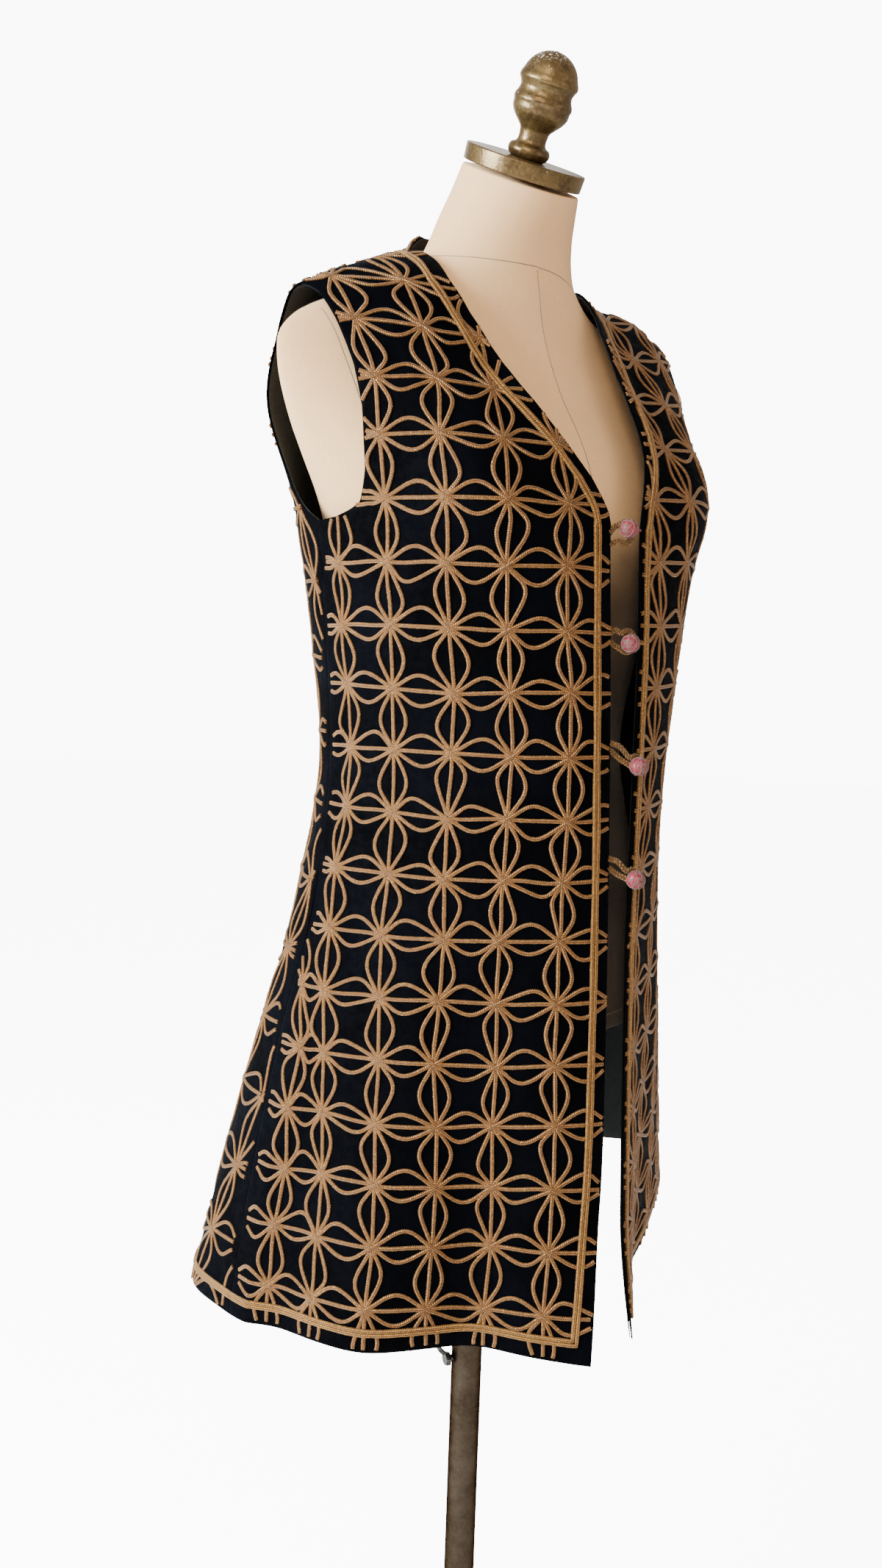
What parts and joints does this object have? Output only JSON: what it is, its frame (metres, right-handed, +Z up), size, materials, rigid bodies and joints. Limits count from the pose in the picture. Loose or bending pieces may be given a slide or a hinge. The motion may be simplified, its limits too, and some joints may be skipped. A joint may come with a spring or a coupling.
{
  "type": "embroidered folk vest on a limbless dress form and stand",
  "caption": "Long sleeveless V-neck velvet vest with a gold corded lattice and ball buttons, hanging open on a limbless linen dress form with a cap, finial, pole and round base.",
  "frame": {"origin": "centre of the round base's underside, on the floor", "axes": "+Z up along the pole, -Y towards the vest's front opening, +X towards the wearer's left"},
  "size_m": [0.496, 0.4, 1.5328],
  "materials": {
    "velvet": "near-black cotton velvet with a short pile",
    "lining": "plain-weave charcoal lining",
    "gold_cord": "couched metallic chain cord",
    "pink": "silk-covered ball with a silver-white thread net",
    "linen": "cream plain-weave linen, pulled tight and seamed",
    "bronze": "antique bronze, satin, worn",
    "steel": "dull plated steel"
  },
  "bodies": {
    "root": {"back": "velvet", "front_left": "velvet", "front_right": "velvet", "lining_back": "lining", "lining_front_left": "lining", "lining_front_right": "lining", "border_back_hem": "gold_cord", "border_front_left": "gold_cord", "border_front_right": "gold_cord", "button_1": "pink", "button_2": "pink", "button_3": "pink", "button_4": "pink", "loop_1": "gold_cord", "loop_2": "gold_cord", "loop_3": "gold_cord", "loop_4": "gold_cord", "form_body": "linen", "neck_plate": "bronze", "finial": "bronze", "pole_lower": "bronze", "pole_upper": "bronze", "clamp_collar": "bronze", "clamp_lever": "steel", "clamp_bolt": "steel", "base": "bronze"}
  },
  "joints": []
}
